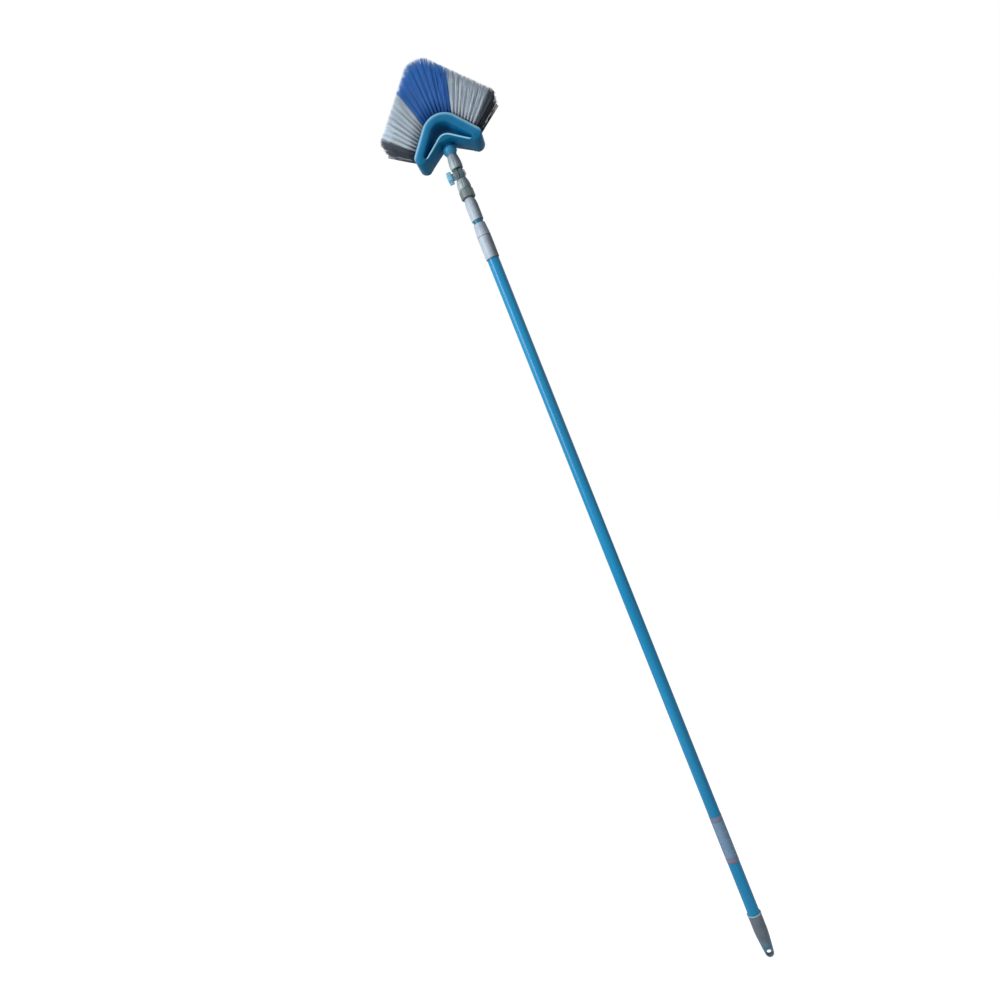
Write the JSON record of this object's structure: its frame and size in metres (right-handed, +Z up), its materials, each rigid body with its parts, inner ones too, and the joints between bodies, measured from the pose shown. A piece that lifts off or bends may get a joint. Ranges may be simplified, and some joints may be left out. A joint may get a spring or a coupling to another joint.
{
  "type": "telescopic ceiling brush",
  "caption": "Telescopic twist-lock pole with a clamped tilting knuckle and an arched block of fanned bristles for dusting ceilings and cornices.",
  "frame": {"origin": "foot of the end cap, on the pole's axis", "axes": "+Z up the pole to the head, +X along the head's width with the star knob at -X, +Y through the head's depth"},
  "size_m": [0.2542, 0.0651, 1.9616],
  "materials": {
    "pole_paint": "glossy mid-blue paint on tube",
    "sleeve_plastic": "satin mid-grey moulded plastic",
    "neck_plastic": "satin dark grey moulded plastic",
    "inner_plastic": "plain near-black plastic, hidden inside",
    "head_plastic": "semi-gloss blue moulded plastic",
    "knob_plastic": "semi-gloss light blue moulded plastic",
    "blue_bristle": "deep blue drawn bristle",
    "grey_bristle": "cool grey drawn bristle",
    "steel_hardware": "plain zinc-plated steel",
    "brass_insert": "plain brass"
  },
  "bodies": {
    "handle": {"outer_tube": "pole_paint", "end_cap": "sleeve_plastic", "lock_body": "sleeve_plastic", "lock_collet": "inner_plastic"},
    "lock": {"lock_nut": "sleeve_plastic"},
    "extension": {"inner_tube": "pole_paint", "inner_guide": "inner_plastic", "neck_adapter": "sleeve_plastic", "lower_knuckle": "neck_plastic", "friction_washer": "inner_plastic", "knuckle_bolt": "steel_hardware"},
    "ring": {"neck_ring": "neck_plastic"},
    "knob": {"star_knob": "knob_plastic", "knob_insert": "brass_insert", "knob_washer": "steel_hardware"},
    "tilt_arm": {"upper_knuckle": "neck_plastic"},
    "collar": {"head_collar": "head_plastic"},
    "head": {"swivel_stem": "steel_hardware", "head_block": "head_plastic", "bristles_left": "grey_bristle", "bristles_centre": "blue_bristle", "bristles_right": "grey_bristle"}
  },
  "joints": [
    {"name": "pole_extend", "type": "slide", "parent": "handle", "child": "extension", "axis": [0, 0, 1], "range_m": [0, 1.25]},
    {"name": "lock_turn", "type": "hinge", "parent": "handle", "child": "lock", "pos_m": [0, 0, 1.6027], "axis": [0, 0, 1], "range_deg": [0, 90]},
    {"name": "neck_ring_turn", "type": "hinge", "parent": "extension", "child": "ring", "pos_m": [0, 0, 1.6825], "axis": [0, 0, 1], "range_deg": [0, 180]},
    {"name": "head_tilt", "type": "hinge", "parent": "extension", "child": "tilt_arm", "pos_m": [0, 0, 1.7261], "axis": [1, 0, 0], "range_deg": [-75, 75]},
    {"name": "knob_turn", "type": "hinge", "parent": "extension", "child": "knob", "pos_m": [-0.0188, 0, 1.7261], "axis": [1, 0, 0], "range_deg": [0, 360]},
    {"name": "head_collar_turn", "type": "hinge", "parent": "tilt_arm", "child": "collar", "pos_m": [0, 0, 1.776], "axis": [0, 0, 1], "range_deg": [0, 120]},
    {"name": "head_swivel", "type": "hinge", "parent": "tilt_arm", "child": "head", "pos_m": [0, 0, 1.7841], "axis": [0, 0, 1], "continuous": true}
  ]
}
